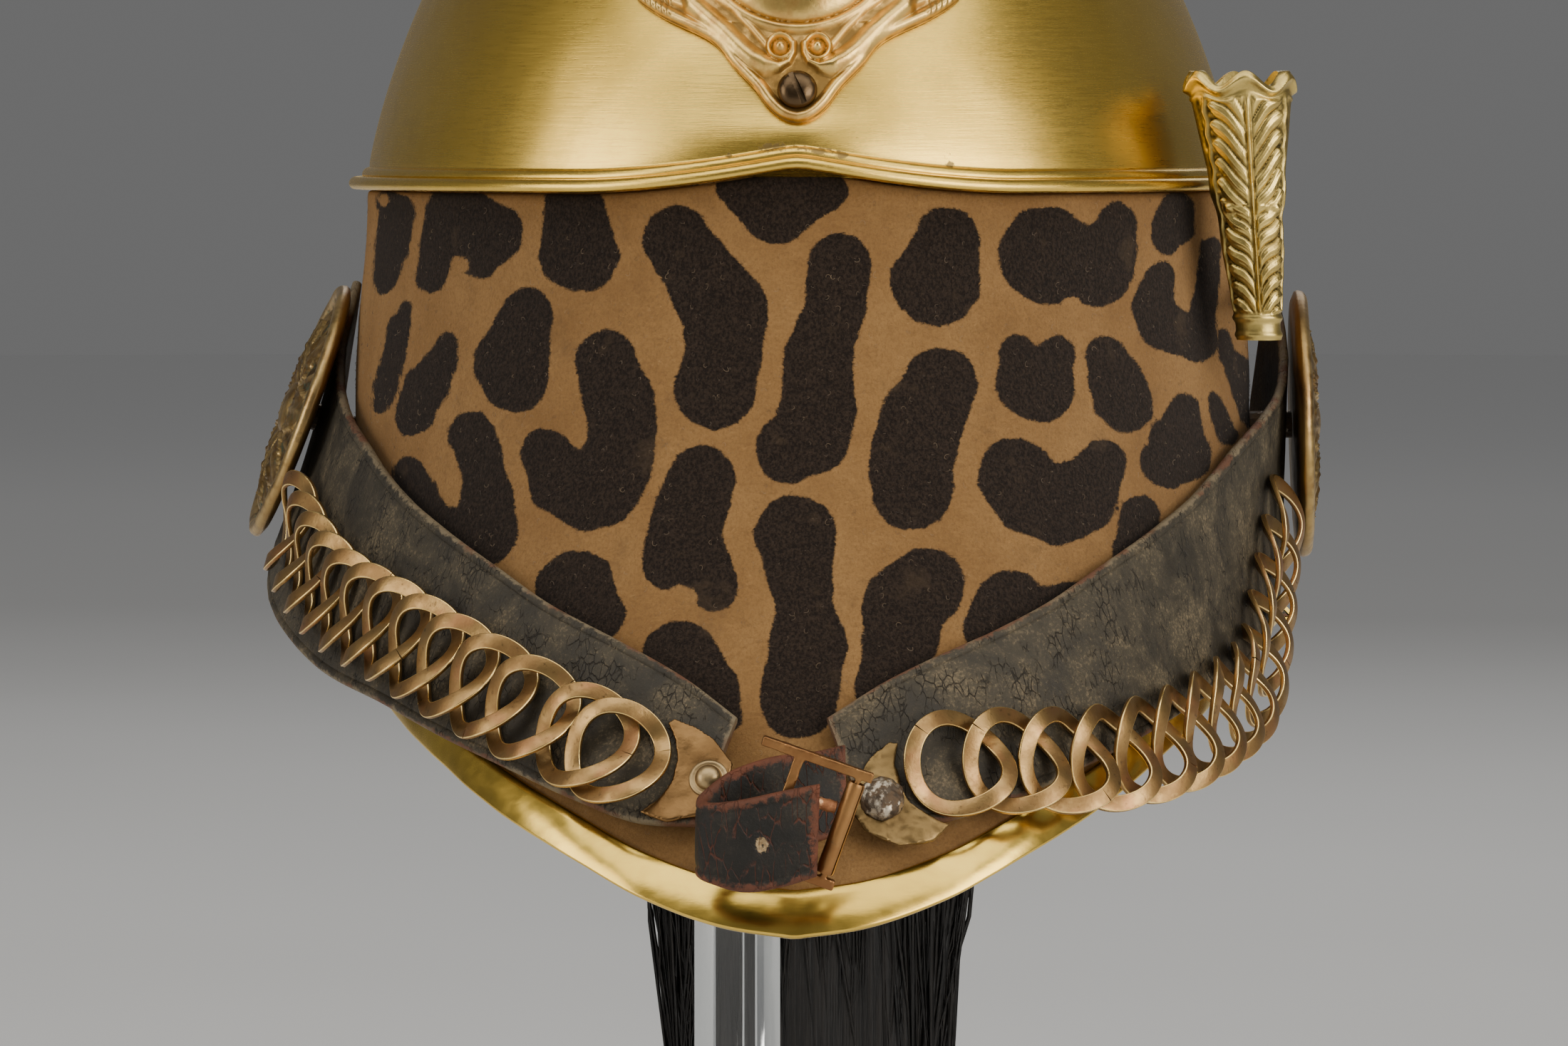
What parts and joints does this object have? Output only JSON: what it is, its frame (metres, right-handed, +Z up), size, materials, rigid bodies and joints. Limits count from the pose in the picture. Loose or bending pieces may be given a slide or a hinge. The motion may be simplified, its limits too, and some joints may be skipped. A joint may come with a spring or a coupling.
{
  "type": "dragoon helmet on display stand",
  "caption": "Brass dragoon helmet with a leopard-spotted felt turban and steep peak, crest with horsehair mane, plume holder and chain chin strap, on a clear post stand",
  "frame": {"origin": "centre of the underside of the stand's foot, on the surface it stands on", "axes": "+Z up along the post; the helmet's peak points to -Y; +X is the wearer's left, where the plume holder is"},
  "size_m": [0.2495, 0.3501, 0.5905],
  "materials": {
    "skull_brass": "polished, hand rubbed",
    "bright_brass": "bright rolled strip",
    "cast_brass": "cast and chased",
    "link_brass": "bronzed by age",
    "spotted_felt": "napped felt",
    "black_leather": "worn and cracked",
    "dark_iron": "dark oxide",
    "black_horsehair": "combed hair",
    "clear_acrylic": "clear, polished"
  },
  "bodies": {
    "root": {"skull": "skull_brass", "peak_binding": "bright_brass", "neck_binding": "bright_brass", "crest": "cast_brass", "crest_front_plate": "cast_brass", "plume_holder": "cast_brass", "holder_lug": "cast_brass", "link_left_01": "link_brass", "link_left_02": "link_brass", "link_left_03": "link_brass", "link_left_04": "link_brass", "link_left_05": "link_brass", "link_left_06": "link_brass", "link_left_07": "link_brass", "link_left_08": "link_brass", "link_left_09": "link_brass", "link_left_10": "link_brass", "link_left_11": "link_brass", "link_left_12": "link_brass", "link_left_13": "link_brass", "link_right_01": "link_brass", "link_right_02": "link_brass", "link_right_03": "link_brass", "link_right_04": "link_brass", "link_right_05": "link_brass", "link_right_06": "link_brass", "link_right_07": "link_brass", "link_right_08": "link_brass", "link_right_09": "link_brass", "link_right_10": "link_brass", "link_right_11": "link_brass", "link_right_12": "link_brass", "link_right_13": "link_brass", "link_right_14": "link_brass", "end_plate_left": "link_brass", "end_plate_right": "link_brass", "rivet_left": "link_brass", "ear_boss_left": "link_brass", "ear_boss_right": "link_brass", "buckle_frame": "link_brass", "buckle_roller": "link_brass", "felt_turban": "spotted_felt", "strap_left": "black_leather", "strap_right": "black_leather", "buckle_strap": "black_leather", "neck_guard": "black_leather", "rivet_right": "dark_iron", "plate_screw": "dark_iron", "buckle_tongue": "dark_iron", "ear_stud_left": "dark_iron", "ear_stud_right": "dark_iron", "mane": "black_horsehair", "stand_foot": "clear_acrylic", "stand_post": "clear_acrylic", "stand_pad": "clear_acrylic"}
  },
  "joints": []
}
